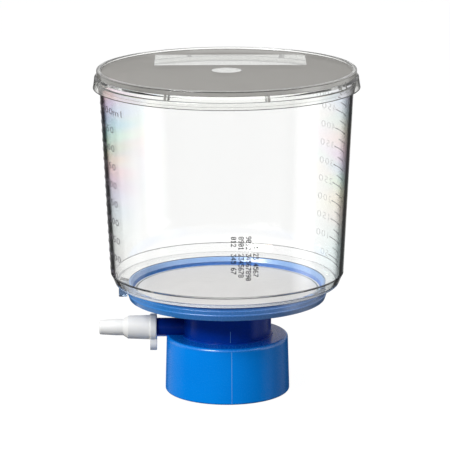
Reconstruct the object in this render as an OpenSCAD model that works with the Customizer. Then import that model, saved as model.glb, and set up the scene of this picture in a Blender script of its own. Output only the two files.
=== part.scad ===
// Bottle-top vacuum filtration unit, 500 ml, for a bottle with a 45 mm threaded neck.
// +Z up. The origin is the centre of the collar's bottom rim, and the side arm points to -X.

/* [Collar] */
// Diameter across the crests of the inside thread
thread_crest_d = 43.2; // [42:0.1:45]
// Depth of the thread groove
thread_depth = 1.1; // [0.6:0.1:1.2]
// Rise of the thread in one turn
thread_pitch = 4.0; // [3.5:0.1:5]
// Number of thread turns
thread_turns = 2.5; // [1:0.5:3]
// Wall of the collar behind the thread
collar_wall = 2.4; // [1.6:0.1:3]
// Height of the collar
collar_h = 22.8; // [21:0.2:30]
// Thickness of the sealing ring under the collar's ceiling
gasket_t = 1.5; // [1:0.1:2]
// Width of the sealing ring from bore to rim
gasket_w = 4.6; // [3:0.1:5]

/* [Neck] */
// Outside diameter of the neck between collar and dish
neck_d = 35.4; // [32:0.2:37]
// Wall of the neck
neck_wall = 1.8; // [1.4:0.1:2.4]
// Length of the neck from collar to dish
neck_len = 16.6; // [14:0.2:24]
// Bore of the drip spout
spout_bore = 7.0; // [5:0.5:8]
// Wall of the drip spout
spout_wall = 1.5; // [1:0.1:2]
// Height of the spout's tip above the sealing ring
spout_tip_rise = 1.6; // [1.5:0.1:3]

/* [Side arm] */
// Outside diameter of the side arm
arm_d = 7.6; // [7:0.1:8.4]
// Bore of the side arm
arm_bore = 5.0; // [4:0.1:5.4]
// Height of the arm's axis above the collar's top
arm_rise = 2.7; // [2.6:0.1:5]
// Distance from the unit's axis to the arm's tip
arm_reach = 39.5; // [37:0.5:44]
// Length of the cotton plug in the arm
cotton_len = 7.0; // [5:0.5:9]

/* [Hose adapter] */
// Length of arm that the adapter covers
adapter_grip = 11.6; // [9:0.2:12]
// Wall of the barrel at the flange
barrel_wall = 1.15; // [0.9:0.05:1.5]
// Taper of the barrel from flange to shoulder, in radius
barrel_taper = 0.35; // [0.1:0.05:0.5]
// Bore of the nipple
nipple_bore = 3.6; // [3:0.1:4]
// Wall of the nipple at its root
nipple_wall = 1.5; // [1.2:0.1:1.8]
// Taper of the nipple from root to tip, in radius
nipple_taper = 0.4; // [0.1:0.05:0.6]
// Length of the nipple past the shoulder
nipple_len = 10.2; // [8:0.2:14]
// Thickness of the pull flange
flange_t = 2.7; // [2:0.1:3.2]
// How far the pull flange stands out from the barrel
flange_rim = 0.5; // [0.3:0.1:1]
// How far the pull tab hangs below the flange
tab_reach = 4.0; // [2:0.1:6]
// Width of the pull tab
tab_w = 7.0; // [5:0.5:9]

/* [Membrane and dish] */
// Diameter of the filter membrane
membrane_d = 75.0; // [70:0.5:80]
// Thickness of the filter membrane
membrane_t = 0.2; // [0.15:0.05:0.4]
// Thickness of the support plate
plate_t = 0.6; // [0.5:0.1:1]
// Height of the drain ribs under the support plate
drain_gap = 0.5; // [0.4:0.1:1]
// Number of drain slots in the outer ring of the support plate
support_slots = 24; // [12:4:36]
// Thickness of the dish's floor
dish_floor = 1.2; // [1:0.1:2]
// Height of the dish's rim above the membrane
dish_rim_rise = 3.1; // [2.5:0.1:5]
// Thickness of the dish's rim
dish_rim_t = 1.3; // [1:0.1:2]

/* [Chamber] */
// Height of the chamber from the dish's rim to its own rim
chamber_h = 81.6; // [60:0.2:110]
// Wall of the chamber at its foot
chamber_wall = 1.5; // [1.3:0.1:1.8]
// Growth of the wall's radius from its bottom corner to its rim
wall_flare = 3.65; // [1:0.05:5]
// Width of the chamber's flange round the dish
flange_w = 5.0; // [4:0.1:6]
// Thickness of the chamber's flange
chamber_floor = 1.5; // [1.2:0.1:2]

/* [Lid] */
// Thickness of the lid's top
lid_top_t = 1.4; // [1:0.1:2]
// Wall of the lid's skirt at its bottom edge
lid_wall = 0.9; // [0.8:0.1:1.6]
// How far the lid's skirt reaches below the chamber's rim
lid_overlap = 2.5; // [2:0.1:6]
// Height of the raised lip above the top
lip_h = 0.8; // [0.4:0.1:1.2]
// Width of the raised lip
lip_w = 1.8; // [1:0.1:2.5]
// Number of vent ribs that hold the lid off the chamber's rim
rib_count = 8; // [4:1:12]
// Height of the vent ribs
rib_h = 2.5; // [1.5:0.1:3]

/* [Hidden] */
$fn = 96;

// Clearances
push_clear = 0.05;      // hose adapter on the side arm, cotton plug in it, sealing ring in its groove
weld_clear = 0.05;      // chamber's flange round the dish
seat_clear = 0.1;       // membrane inside the dish
lid_clear = 0.3;        // lid round the chamber's bead
lug_clear = 0.1;        // chamber's lug beside the dish

// Collar
crest_r = thread_crest_d / 2;
collar_r = crest_r + thread_depth + collar_wall;
collar_draft = 0.65;    // the collar is this much smaller in radius at its top
collar_edge = 1.2;      // round of the collar's top edge
ceiling_t = 2.0;        // plate between collar and neck
ceiling_z = collar_h - ceiling_t;
lead_in = 1.2;          // cone at the thread's mouth
gasket_z = ceiling_z - gasket_t;
gasket_groove = 0.7;    // how far the sealing ring's groove goes behind the crests
gasket_r = crest_r + gasket_groove;

// Thread groove
thread_start = lead_in + 1.6;
thread_steps = 24;      // sections in one turn
thread_root_w = 1.0;    // width at the bottom of the groove
thread_mouth_w = 2.2;   // width of the cutter inside the crests
thread_inset = 0.4;     // how far the cutter starts inside the crests
thread_fade = 3;        // sections over which each end runs out
thread_least = 0.3;     // share of the depth at each end

// Neck and spout
neck_r = neck_d / 2;
neck_in_r = neck_r - neck_wall;
foot_h = 0.8;           // step round the neck's foot
foot_w = 0.6;
neck_top_round = 0.9;
dish_z = collar_h + neck_len;
floor_z = dish_z + dish_floor;
funnel_drop = 2.6;      // fall of the floor from the neck to the spout
spout_r = spout_bore / 2 + spout_wall;
spout_tip_z = gasket_z + spout_tip_rise;
spout_cut = 15;         // slant of the spout's tip in degrees

// Side arm
arm_z = collar_h + arm_rise;
arm_root = neck_in_r + neck_wall / 2;
arm_chamfer = 0.5;
cotton_inset = 0.5;     // from the arm's tip to the plug

// Hose adapter
stop_gap = 0.4;         // between the arm's tip and the adapter's inner shoulder
socket_r = arm_d / 2 + push_clear;
barrel_r = socket_r + barrel_wall;
barrel_end_r = barrel_r - barrel_taper;
flange_r = barrel_r + flange_rim;
flange_x = arm_reach - adapter_grip;
shoulder_x = arm_reach; // where the barrel starts to narrow
shoulder_len = 1.9;
shoulder_round = 0.3;
nipple_r = nipple_bore / 2 + nipple_wall;
nipple_land = 3;        // straight stretch at the nipple's root
nipple_tip_x = shoulder_x + shoulder_len + nipple_len;
nipple_tip_r = nipple_r - nipple_taper;
tip_round = 0.8;

// Membrane, its support and the dish
membrane_r = membrane_d / 2;
support_t = drain_gap + plate_t;
membrane_z = floor_z + support_t;
seat_r = membrane_r + seat_clear;
dish_slope = 1.1;       // run of the slope inside the dish's rim
dish_r = seat_r + dish_slope + dish_rim_t;
dish_top_z = membrane_z + membrane_t + dish_rim_rise;
dish_side_r = dish_r - 0.45;    // side that the chamber's flange is welded to
dish_band_r = dish_r - 0.2;     // side below the ledge
dish_ledge = 2.8;       // from the dish's rim down to the ledge
dish_chamfer = 0.25;    // chamfers over the lip and at the ledge
dish_hem_h = 1.0;       // how far the dish's edge hangs below its floor
dish_hem_w = 2.6;
dish_bevel_w = 0.6;     // bevel round the hem
dish_bevel_h = 1.9;
dish_lip_h = 0.3;       // upright edge over the bevel
groove_in_r = seat_r + 0.3;     // groove inside the rim, over the membrane's edge
groove_r = seat_r + 0.8;
groove_h = 1.1;
groove_roof = 0.2;
plate_r = membrane_r - seat_clear;
plate_rim = 2.4;        // closed ring round the outer slots
slot_w = 1.0;
slot_gap = 2;           // between the two rings of slots
slot_inner_r = spout_r + slot_gap;
slot_outer_r = plate_r - plate_rim;
slot_mid_r = (slot_inner_r + slot_outer_r) / 2;
support_rib_w = 1.2;

// Chamber
foot_rise = 0.1;        // from the dish's rim to the chamber's foot
foot_wall = 1.15;       // the inner foot is this far in from the outer one, and this far up
corner_step = 1.7;      // from the foot's radius to the wall's
corner_rise = 4.2;      // from the dish's rim to the corner
inner_rise = 0.3;       // the corner inside is this much higher
wall_thin = 0.4;        // the wall is this much thinner at its rim
floor_step = 0.15;      // from the dish's rim up to the floor's edge
chamber_hole_r = dish_side_r + weld_clear;
chamber_foot_r = dish_r + flange_w;
chamber_foot_z = dish_top_z + foot_rise;
chamber_floor_z = dish_top_z + floor_step;
corner_r = chamber_foot_r + corner_step;
corner_z = dish_top_z + corner_rise;
wall_top_r = corner_r + wall_flare;
rim_z = dish_top_z + chamber_h;
bead_h = 1.6;           // bead round the chamber's rim
bead_w = 0.35;
bead_edge = 0.4;
bead_r = wall_top_r + bead_w;
lug_len = 3.4;
lug_w = 5;
lug_drop = 6.3;         // how far the lug hangs below the dish's rim

// Lid
lid_in_r = bead_r + lid_clear;
lid_flare = 1.0;        // growth of the skirt's inside towards its bottom edge
lid_r = lid_in_r + lid_flare + lid_wall;
lip_r = lid_in_r + 0.5;
lip_edge = 0.3;
lid_bottom_z = rim_z - lid_overlap;
lid_under_z = rim_z + rib_h;
lid_top_z = lid_under_z + lid_top_t;
step_drop = 2.2;        // from the lid's top to the step in its skirt
step_rise = 0.7;
step_w = 0.8;
step_z = lid_top_z - step_drop;
rib_w = 1.1;
rib_len = 2.6;
rib_sink = 0.6;         // how far each rib runs into the skirt
rib_turn = 18;          // angle of the first rib from the front

blue = [0.05, 0.36, 0.80];
clear_plastic = [0.88, 0.92, 0.94, 0.35];
frosted = [0.70, 0.70, 0.68, 0.70];
white_plastic = [0.92, 0.92, 0.91];

// Points of an arc in the section plane, from angle a to angle b
function arc(c, r, a, b, n = 6) =
    [for (i = [0 : n]) let (t = a + (b - a) * i / n) c + r * [cos(t), sin(t)]];

// Reach of the thread cutter past the crests, and one section of it, at step i of n
function thread_reach(i, n) =
    thread_depth * (thread_least + (1 - thread_least) * min(1, min(i, n - i) / thread_fade));
function thread_section(i, n) =
    let (a = 360 * i / thread_steps,
         z = thread_start + thread_pitch * i / thread_steps,
         near = crest_r - thread_inset,
         far = crest_r + thread_reach(i, n),
         m = thread_mouth_w / 2,
         w = thread_root_w / 2)
    [for (p = [[near, -m], [far, -w], [far, w], [near, m]]) [p[0] * cos(a), p[0] * sin(a), z + p[1]]];

module thread_cutter() {
    n = round(thread_turns * thread_steps);
    points = [for (i = [0 : n]) each thread_section(i, n)];
    sides = [for (i = [0 : n - 1], k = [0 : 3])
        let (a = 4 * i + k, b = 4 * i + (k + 1) % 4) each [[a, b, b + 4], [a, b + 4, a + 4]]];
    last = 4 * n;
    ends = [[3, 2, 1], [3, 1, 0], [last, last + 1, last + 2], [last, last + 2, last + 3]];
    polyhedron(points = points, faces = concat(sides, ends), convexity = 6);
}

// The dish's outer side, from its bottom to its rim
function dish_side() =
    let (hem_z = dish_z - dish_hem_h, lip_z = hem_z + dish_bevel_h, band_z = lip_z + dish_lip_h,
         ledge_z = dish_top_z - dish_ledge)
    [[dish_r - dish_hem_w, dish_z], [dish_r - dish_hem_w + dish_chamfer, hem_z],
     [dish_r - dish_bevel_w, hem_z], [dish_r, lip_z], [dish_r, band_z],
     [dish_band_r, band_z + dish_chamfer], [dish_band_r, ledge_z],
     [dish_side_r, ledge_z + dish_chamfer], [dish_side_r, dish_top_z]];

// Collar, neck and dish turned round the axis, with the drip spout inside
module base_body() {
    groove_z = membrane_z + membrane_t;
    rotate_extrude() polygon(concat(
        [[crest_r + lead_in, 0], [collar_r, 0]],
        arc([collar_r - collar_draft - collar_edge, collar_h - collar_edge], collar_edge, 0, 90),
        [[neck_r + foot_w, collar_h], [neck_r + foot_w, collar_h + foot_h], [neck_r, collar_h + foot_h]],
        arc([neck_r + neck_top_round, dish_z - neck_top_round], neck_top_round, 180, 90),
        dish_side(),
        [[dish_r - dish_rim_t, dish_top_z], [groove_in_r, groove_z + groove_h + groove_roof],
         [groove_r, groove_z + groove_h], [groove_r, groove_z], [seat_r, groove_z],
         [seat_r, floor_z], [neck_in_r, floor_z],
         [spout_bore / 2, floor_z - funnel_drop], [spout_bore / 2, spout_tip_z], [spout_r, spout_tip_z],
         [spout_r, dish_z - funnel_drop], [neck_in_r, dish_z - neck_wall / 2], [neck_in_r, ceiling_z],
         [gasket_r, ceiling_z], [gasket_r, gasket_z], [crest_r, gasket_z], [crest_r, lead_in]]));
}

module side_arm() {
    body_len = arm_reach - arm_root - arm_chamfer;
    translate([-arm_root, 0, arm_z]) rotate([0, -90, 0]) {
        cylinder(r = arm_d / 2, h = body_len);
        translate([0, 0, body_len])
            cylinder(r1 = arm_d / 2, r2 = arm_d / 2 - arm_chamfer, h = arm_chamfer);
    }
}

module base() {
    spout_d = 2 * spout_r;
    color(blue) difference() {
        union() {
            base_body();
            side_arm();
        }
        translate([-neck_in_r + neck_wall, 0, arm_z]) rotate([0, -90, 0])
            cylinder(r = arm_bore / 2, h = arm_reach);
        translate([0, 0, spout_tip_z + tan(spout_cut) * spout_r]) rotate([0, spout_cut, 0])
            translate([-spout_d, -spout_d, -spout_d]) cube([2 * spout_d, 2 * spout_d, spout_d]);
        thread_cutter();
    }
}

module neck_gasket() {
    ring_r = gasket_r - push_clear;
    color("whitesmoke") translate([0, 0, gasket_z]) difference() {
        cylinder(r = ring_r, h = gasket_t);
        translate([0, 0, -gasket_t]) cylinder(r = ring_r - gasket_w, h = 3 * gasket_t);
    }
}

// Radial slots through the support plate
module slot_ring(count, from_r, to_r, turn) {
    for (i = [0 : count - 1]) rotate(turn + i * 360 / count)
        translate([from_r, -slot_w / 2, floor_z - support_t]) cube([to_r - from_r, slot_w, 3 * support_t]);
}

module membrane_support() {
    half = floor(support_slots / 2);
    color("white") difference() {
        union() {
            translate([0, 0, membrane_z - plate_t]) cylinder(r = plate_r, h = plate_t);
            for (i = [0 : half - 1]) rotate(i * 360 / half)
                translate([slot_inner_r, -support_rib_w / 2, floor_z])
                    cube([slot_outer_r - slot_inner_r, support_rib_w, support_t]);
            translate([0, 0, floor_z]) difference() {
                cylinder(r = plate_r, h = support_t);
                translate([0, 0, -support_t]) cylinder(r = plate_r - plate_rim / 2, h = 3 * support_t);
            }
        }
        slot_ring(half, slot_inner_r, slot_mid_r - slot_gap, 180 / half);
        slot_ring(2 * half, slot_mid_r, slot_outer_r, 90 / half);
    }
}

module membrane() {
    color("white") translate([0, 0, membrane_z]) cylinder(r = membrane_r, h = membrane_t);
}

module chamber() {
    color(clear_plastic) {
        rotate_extrude() polygon([
            [chamber_hole_r, chamber_floor_z - chamber_floor], [chamber_foot_r, chamber_foot_z],
            [corner_r, corner_z], [wall_top_r, rim_z - bead_h], [bead_r, rim_z - bead_h],
            [bead_r, rim_z - bead_edge], [bead_r - bead_edge, rim_z],
            [wall_top_r - chamber_wall + wall_thin, rim_z],
            [corner_r - chamber_wall, corner_z + inner_rise],
            [chamber_foot_r - foot_wall, chamber_foot_z + foot_wall], [chamber_hole_r, chamber_floor_z]]);
        translate([-dish_r - lug_clear - lug_len, -lug_w / 2, dish_top_z - lug_drop])
            cube([lug_len, lug_w, lug_drop]);
    }
}

module lid() {
    color(frosted) {
        rotate_extrude() polygon([
            [0, lid_under_z], [lid_in_r, lid_under_z],
            [lid_r - lid_wall, lid_bottom_z], [lid_r, lid_bottom_z],
            [lip_r + step_w, step_z], [lip_r, step_z + step_rise],
            [lip_r, lid_top_z + lip_h - lip_edge], [lip_r - lip_edge, lid_top_z + lip_h],
            [lip_r - lip_w + lip_edge, lid_top_z + lip_h], [lip_r - lip_w, lid_top_z], [0, lid_top_z]]);
        for (i = [0 : rib_count - 1]) rotate(-90 + rib_turn + i * 360 / rib_count)
            translate([lid_in_r - rib_len, -rib_w / 2, rim_z]) cube([rib_len + rib_sink, rib_w, rib_h]);
    }
}

module hose_adapter() {
    tab_end = flange_r + tab_reach - tab_w / 2;
    color(white_plastic) translate([0, 0, arm_z]) rotate([0, -90, 0]) {
        rotate_extrude() polygon(concat(
            [[socket_r, flange_x], [barrel_r, flange_x], [barrel_end_r, shoulder_x],
             [barrel_end_r - shoulder_round, shoulder_x + 2 * shoulder_round],
             [nipple_r, shoulder_x + shoulder_len], [nipple_r, shoulder_x + shoulder_len + nipple_land]],
            arc([nipple_tip_r - tip_round, nipple_tip_x - tip_round], tip_round, 0, 90),
            [[nipple_bore / 2, nipple_tip_x], [nipple_bore / 2, arm_reach + stop_gap],
             [socket_r, arm_reach + stop_gap]]));
        translate([0, 0, flange_x]) linear_extrude(flange_t) difference() {
            union() {
                circle(r = flange_r);
                translate([-tab_end, -tab_w / 2]) square([tab_end, tab_w]);
                translate([-tab_end, 0]) circle(d = tab_w);
            }
            circle(r = socket_r);
        }
    }
}

module cotton_plug() {
    color("ivory") translate([-(arm_reach - cotton_inset), 0, arm_z]) rotate([0, 90, 0])
        cylinder(r = arm_bore / 2 - push_clear, h = cotton_len);
}

base();
neck_gasket();
membrane_support();
membrane();
chamber();
lid();
hose_adapter();
cotton_plug();
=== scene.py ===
"""Looks of a bottle-top vacuum filtration unit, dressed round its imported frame.

Sizes in the classes are in millimetres. The bench turns them into metres, and what
the frame already holds, such as a node's width or its top, is read from the frame.
"""

import logging
import math
from dataclasses import dataclass
from enum import Enum

import bpy
from mathutils import Matrix, Vector


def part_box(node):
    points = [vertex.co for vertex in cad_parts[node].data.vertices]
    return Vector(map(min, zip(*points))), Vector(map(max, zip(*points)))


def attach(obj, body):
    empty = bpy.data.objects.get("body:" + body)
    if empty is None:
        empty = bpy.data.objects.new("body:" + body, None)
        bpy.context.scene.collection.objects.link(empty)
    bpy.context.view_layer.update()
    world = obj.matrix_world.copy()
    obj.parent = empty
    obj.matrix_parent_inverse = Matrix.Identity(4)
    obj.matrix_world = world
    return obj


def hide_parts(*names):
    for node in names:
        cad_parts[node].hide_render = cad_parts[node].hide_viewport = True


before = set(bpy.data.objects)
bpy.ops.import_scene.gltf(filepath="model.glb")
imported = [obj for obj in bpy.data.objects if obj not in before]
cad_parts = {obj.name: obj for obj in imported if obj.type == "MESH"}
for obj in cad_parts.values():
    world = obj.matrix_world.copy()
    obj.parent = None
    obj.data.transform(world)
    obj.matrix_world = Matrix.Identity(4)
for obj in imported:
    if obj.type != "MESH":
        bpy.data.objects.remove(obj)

log = logging.getLogger("filtration_unit")

MM = 0.001
FULL_TURN = 2 * math.pi
ROUND_STEP = 15.0  # degrees of a round between two points of a section
WELD = 0.002  # points closer than this are one
BLACK = (0.0, 0.0, 0.0)

Point = tuple[float, float]
Corner = tuple[float, float, float]
Place = tuple[float, float, float]
Colour = tuple[float, float, float]
Socket = bpy.types.NodeSocket
Number = float | Socket
Tone = Colour | Socket


class Body(Enum):
    """Bodies of the frame that pieces ride on."""

    FILTER = "filter"
    LID = "lid"
    ADAPTER = "adapter"


class Slot(Enum):
    """Material slots of the record."""

    BLUE = "blue_plastic"
    GASKET = "gasket_rubber"
    MEMBRANE = "membrane_film"
    CLEAR = "clear_plastic"
    FROSTED = "frosted_plastic"
    WHITE = "white_plastic"
    COTTON = "cotton"


class Axis(Enum):
    """Axis that a section is turned about."""

    UP = (0.0, 0.0, 1.0)
    ALONG = (-1.0, 0.0, 0.0)


def node_box(node: str) -> tuple[Vector, Vector]:
    """Lowest and highest corner of a frame node, in millimetres."""
    low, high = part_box(node)
    return low / MM, high / MM


def linear(red: int, green: int, blue: int) -> Colour:
    """Scene-linear colour of a display colour.

    Args:
        red: Red from 0 to 255.
        green: Green from 0 to 255.
        blue: Blue from 0 to 255.

    Returns:
        The three linear values, from 0 to 1.
    """

    def channel(value: int) -> float:
        """Linear value of one channel."""
        share = value / 255
        return share / 12.92 if share <= 0.04045 else ((share + 0.055) / 1.055) ** 2.4

    return channel(red), channel(green), channel(blue)


def rounded(corners: list[Corner]) -> list[Point]:
    """Closed outline with its corners rounded.

    Args:
        corners: Place across, place along and radius of each corner, 0 for a sharp one.

    Returns:
        The outline's points, with each round as an arc.
    """
    points: list[Point] = []
    for i, (x, y, radius) in enumerate(corners):
        here = Vector((x, y))
        back = Vector(corners[i - 1][:2]) - here
        ahead = Vector(corners[(i + 1) % len(corners)][:2]) - here
        opening = back.angle(ahead)
        if radius <= 0 or opening > math.radians(179):
            points.append((x, y))
            continue
        back.normalize()
        ahead.normalize()
        run = radius / math.tan(opening / 2)
        centre = here + (back + ahead).normalized() * radius / math.sin(opening / 2)
        start = here + back * run - centre
        turn = math.pi - opening
        if back.y * ahead.x - back.x * ahead.y < 0:
            turn = -turn
        count = max(2, math.ceil(abs(math.degrees(turn)) / ROUND_STEP))
        for k in range(count + 1):
            spoke = start.copy()
            spoke.rotate(Matrix.Rotation(turn * k / count, 2))
            points.append(tuple(centre + spoke))
    return points


class Bench:
    """Modelling moves that the pieces share. Every size it is given is in millimetres."""

    @staticmethod
    def clear() -> None:
        """Deselects everything, so that an operator acts on the new piece alone."""
        bpy.ops.object.select_all(action="DESELECT")

    @staticmethod
    def only(piece: bpy.types.Object) -> None:
        """Makes a piece the selected and active one.

        Args:
            piece: Piece to select.
        """
        Bench.clear()
        piece.select_set(True)
        bpy.context.view_layer.objects.active = piece

    @staticmethod
    def named(name: str) -> bpy.types.Object:
        """Names the active object and its mesh.

        Args:
            name: Name for both.

        Returns:
            The active object.
        """
        piece = bpy.context.object
        piece.name = name
        piece.data.name = name
        return piece

    @staticmethod
    def settle(piece: bpy.types.Object) -> None:
        """Puts the place of a piece into its mesh and leaves its object at the origin."""
        Bench.only(piece)
        bpy.ops.object.transform_apply(location=True, rotation=True, scale=True)

    @staticmethod
    def outline(name: str, places: list[Vector]) -> bpy.types.Object:
        """Draws a closed outline of edges, point by point, and leaves it in edit mode.

        Args:
            name: Name of the piece that it becomes.
            places: Its points, in metres.

        Returns:
            The outline.
        """
        Bench.clear()
        bpy.ops.mesh.primitive_plane_add(size=MM, location=places[0])
        piece = Bench.named(name)
        bpy.ops.object.mode_set(mode="EDIT")
        bpy.ops.mesh.select_all(action="SELECT")
        bpy.ops.mesh.merge(type="CENTER")
        for here, there in zip(places, [*places[1:], places[0]]):
            bpy.ops.mesh.extrude_region_move(TRANSFORM_OT_translate={"value": there - here})
        bpy.ops.mesh.select_all(action="SELECT")
        bpy.ops.mesh.remove_doubles(threshold=WELD * MM)
        return piece

    @staticmethod
    def turned(
        name: str,
        section: list[Point],
        axis: Axis = Axis.UP,
        height: float = 0.0,
        steps: int = 192,
    ) -> bpy.types.Object:
        """Turns a closed section round an axis, as on a lathe.

        Args:
            name: Name of the piece.
            section: Radius and place along the axis of each point.
            axis: Axis to turn about. ALONG runs towards -X.
            height: Height of an axis that lies along X.
            steps: Number of faces round the piece.

        Returns:
            The turned piece.
        """

        def place(point: Point) -> Vector:
            """Place of a section point in the frame, in metres.

            Args:
                point: Radius and place along the axis, in millimetres.

            Returns:
                The place.
            """
            if axis is Axis.UP:
                return Vector((point[0], 0, point[1])) * MM
            return Vector((-point[1], 0, height + point[0])) * MM

        piece = Bench.outline(name, [place(point) for point in section])
        bpy.ops.mesh.spin(
            steps=steps, angle=FULL_TURN, center=(0, 0, height * MM), axis=axis.value
        )
        Bench.tidy_mesh()
        Bench.settle(piece)
        return piece

    @staticmethod
    def fine_ring(name: str, middle: Point, across: Point) -> bpy.types.Object:
        """Turns a fine ring with a square-cornered section round the unit's axis.

        Args:
            name: Name of the ring.
            middle: Radius and height of its section's middle.
            across: Half of the section's size, outwards and upwards.

        Returns:
            The ring.
        """
        (radius, height), (out, up) = middle, across
        corners = ((-out, -up), (out, -up), (out, up), (-out, up))
        return Bench.turned(name, [(radius + x, height + z) for x, z in corners])

    @staticmethod
    def swept(
        name: str, section: list[Point], turn: float, rise: float, steps: int
    ) -> bpy.types.Object:
        """Sweeps a closed section of four points round the upright axis, part of a turn or more.

        Args:
            name: Name of the piece.
            section: Radius and height of each point.
            turn: Angle of the sweep, in degrees.
            rise: Climb over the whole sweep.
            steps: Number of faces along the sweep.

        Returns:
            The swept solid, with closed ends.
        """
        piece = Bench.outline(name, [Vector((x, 0, z)) * MM for x, z in section])
        bpy.ops.object.mode_set(mode="OBJECT")
        Bench.settle(piece)
        screw = piece.modifiers.new("screw", "SCREW")
        screw.angle = math.radians(turn)
        screw.screw_offset = rise * MM
        screw.steps = screw.render_steps = steps
        screw.use_smooth_shade = False
        bpy.ops.object.modifier_apply(modifier=screw.name)
        bpy.ops.object.mode_set(mode="EDIT")
        bpy.ops.mesh.select_all(action="SELECT")
        bpy.ops.mesh.fill_holes(sides=4)
        Bench.tidy_mesh()
        return piece

    @staticmethod
    def tidy_mesh() -> None:
        """Merges doubles, turns the faces outwards and leaves edit mode."""
        bpy.ops.mesh.select_all(action="SELECT")
        bpy.ops.mesh.remove_doubles(threshold=WELD * MM)
        bpy.ops.mesh.normals_make_consistent(inside=False)
        bpy.ops.object.mode_set(mode="OBJECT")

    @staticmethod
    def block(name: str, low: Place, high: Place, edge: float = 0.0) -> bpy.types.Object:
        """Makes a block with bevelled edges.

        Args:
            name: Name of the piece.
            low: Its lowest corner.
            high: Its highest corner.
            edge: Width of the bevel on all its edges.

        Returns:
            The block.
        """
        size = Vector(high) - Vector(low)
        Bench.clear()
        bpy.ops.mesh.primitive_cube_add(size=1, location=(Vector(low) + size / 2) * MM)
        piece = Bench.named(name)
        piece.scale = size * MM
        Bench.settle(piece)
        if edge > 0:
            bpy.ops.object.mode_set(mode="EDIT")
            bpy.ops.mesh.select_all(action="SELECT")
            bpy.ops.mesh.bevel(offset=edge * MM, segments=2, affect="EDGES")
            Bench.tidy_mesh()
        return piece

    @staticmethod
    def combine(piece: bpy.types.Object, tool: bpy.types.Object, operation: str) -> None:
        """Cuts a tool from a piece or welds it on, and removes the tool.

        Args:
            piece: Piece to change.
            tool: Closed solid that is used up.
            operation: DIFFERENCE or UNION.
        """
        Bench.only(piece)
        modifier = piece.modifiers.new("combine", "BOOLEAN")
        modifier.operation = operation
        modifier.solver = "EXACT"
        modifier.object = tool
        bpy.ops.object.modifier_apply(modifier=modifier.name)
        bpy.data.objects.remove(tool)

    @staticmethod
    def join(pieces: list[bpy.types.Object]) -> bpy.types.Object:
        """Joins pieces into the first of them.

        Args:
            pieces: Pieces to join.

        Returns:
            The first piece, which now holds them all.
        """
        Bench.only(pieces[0])
        for piece in pieces:
            piece.select_set(True)
        if len(pieces) > 1:
            bpy.ops.object.join()
        return pieces[0]

    @staticmethod
    def copied(piece: bpy.types.Object) -> bpy.types.Object:
        """Copies a piece with its mesh.

        Args:
            piece: Piece to copy.

        Returns:
            The copy, with a mesh of its own.
        """
        copy = piece.copy()
        copy.data = piece.data.copy()
        bpy.context.collection.objects.link(copy)
        return copy

    @staticmethod
    def around(piece: bpy.types.Object, count: int, first: float) -> bpy.types.Object:
        """Repeats a piece round the unit's axis.

        Args:
            piece: Piece to repeat, which is used up.
            count: Number of copies.
            first: Turn of the first copy, in degrees.

        Returns:
            One piece with all the copies.
        """
        copies = [piece, *(Bench.copied(piece) for _ in range(count - 1))]
        for i, copy in enumerate(copies):
            copy.rotation_euler.z = math.radians(first + i * 360 / count)
            Bench.settle(copy)
        return Bench.join(copies)

    @staticmethod
    def smooth(piece: bpy.types.Object, angle: float = 32.0) -> None:
        """Shades a piece smooth, apart from edges sharper than an angle in degrees.

        Flat faces keep their own normals up to the roundings beside them.

        Args:
            piece: Piece to shade.
            angle: Largest angle between two faces that shade as one surface.
        """
        Bench.only(piece)
        bpy.ops.object.shade_smooth_by_angle(angle=math.radians(angle))
        bpy.ops.object.modifier_add(type="WEIGHTED_NORMAL")
        weighted = piece.modifiers[-1]
        weighted.keep_sharp = True
        bpy.ops.object.modifier_apply(modifier=weighted.name)

    @staticmethod
    def dress(piece: bpy.types.Object, material: bpy.types.Material) -> None:
        """Gives a piece one material all over."""
        piece.data.materials.clear()
        piece.data.materials.append(material)

    @staticmethod
    def hand_over(
        piece: bpy.types.Object, material: bpy.types.Material, body: Body, slot: Slot, *nodes: str
    ) -> None:
        """Dresses a finished piece and lets it ride on its body.

        Args:
            piece: Finished piece.
            material: Material that it gets all over.
            body: Body that it rides on.
            slot: Material slot of the record; not used.
            nodes: Frame nodes that it stands for.
        """
        Bench.dress(piece, material)
        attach(piece, body.value)
        if nodes:
            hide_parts(*nodes)
        log.info("%s: %d faces on %s", piece.name, len(piece.data.polygons), body.value)


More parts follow.
